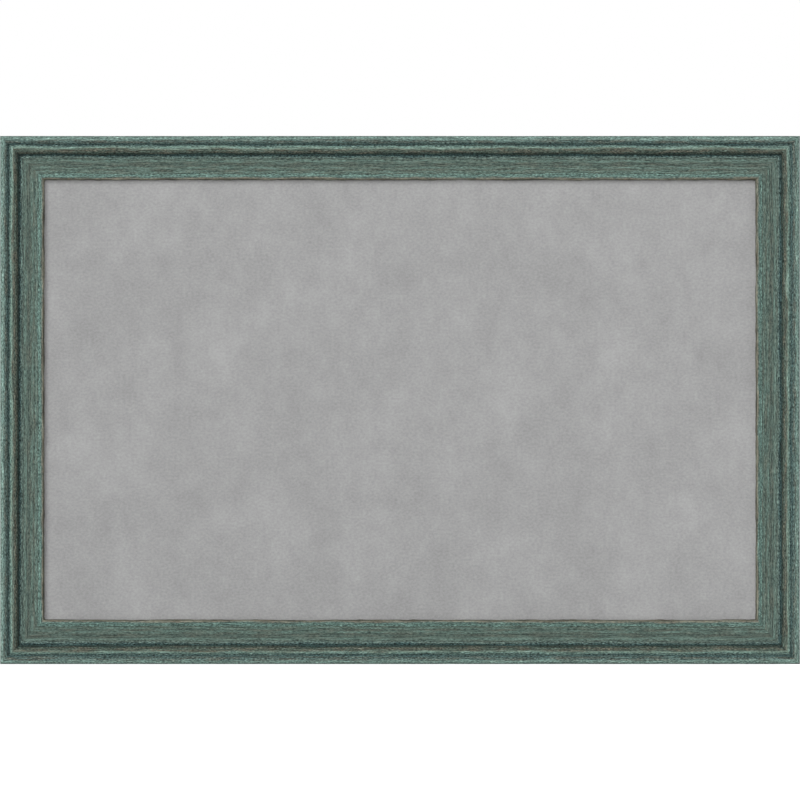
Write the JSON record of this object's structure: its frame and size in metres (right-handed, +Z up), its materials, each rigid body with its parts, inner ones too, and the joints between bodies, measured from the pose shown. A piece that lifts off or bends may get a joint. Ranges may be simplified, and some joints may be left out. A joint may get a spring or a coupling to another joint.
{
  "type": "framed magnetic notice board",
  "caption": "Wide framed magnetic notice board: a grey steel sheet in a mitred, beaded wood moulding, with a papered back and folding D-ring hangers.",
  "frame": {"origin": "middle of the wall plane: half-way across and up the board, on the plane that the four bumpers' free faces lie on", "axes": "+X to the right seen from the front, +Y into the wall, +Z up; the steel sheet faces -Y"},
  "size_m": [1.118, 0.0322, 0.738],
  "materials": {
    "teal_wood": "distressed teal-grey stain, worn to brown at the sight edge",
    "grey_steel": "dull grey sheet with faint cloudy mottling",
    "hardboard": "smooth brown hardboard",
    "kraft_paper": "brown kraft paper, slightly puckered",
    "bright_steel": "plain bright steel",
    "zinc_plate": "bright zinc plate",
    "black_rubber": "matt black rubber"
  },
  "bodies": {
    "board": {"top_rail": "teal_wood", "bottom_rail": "teal_wood", "left_stile": "teal_wood", "right_stile": "teal_wood", "steel_sheet": "grey_steel", "backing_board": "hardboard", "dust_cover": "kraft_paper", "corner_v_nails": "bright_steel", "retaining_points": "bright_steel", "strap_left": "zinc_plate", "strap_right": "zinc_plate", "strap_top": "zinc_plate", "strap_bottom": "zinc_plate", "hanger_screws": "zinc_plate", "bumper_top_left": "black_rubber", "bumper_top_right": "black_rubber", "bumper_bottom_left": "black_rubber", "bumper_bottom_right": "black_rubber"},
    "ring_left": {"ring_left": "zinc_plate"},
    "ring_right": {"ring_right": "zinc_plate"},
    "ring_top": {"ring_top": "zinc_plate"},
    "ring_bottom": {"ring_bottom": "zinc_plate"}
  },
  "joints": [
    {"name": "ring_left_swing", "type": "hinge", "parent": "board", "child": "ring_left", "pos_m": [-0.53115, -0.0025, 0.189], "axis": [1, 0, 0], "range_deg": [0, 180]},
    {"name": "ring_right_swing", "type": "hinge", "parent": "board", "child": "ring_right", "pos_m": [0.53115, -0.0025, 0.189], "axis": [1, 0, 0], "range_deg": [0, 180]},
    {"name": "ring_top_swing", "type": "hinge", "parent": "board", "child": "ring_top", "pos_m": [-0.379, -0.0025, 0.34115], "axis": [0, 0, 1], "range_deg": [0, 180]},
    {"name": "ring_bottom_swing", "type": "hinge", "parent": "board", "child": "ring_bottom", "pos_m": [-0.379, -0.0025, -0.34115], "axis": [0, 0, 1], "range_deg": [0, 180]}
  ]
}
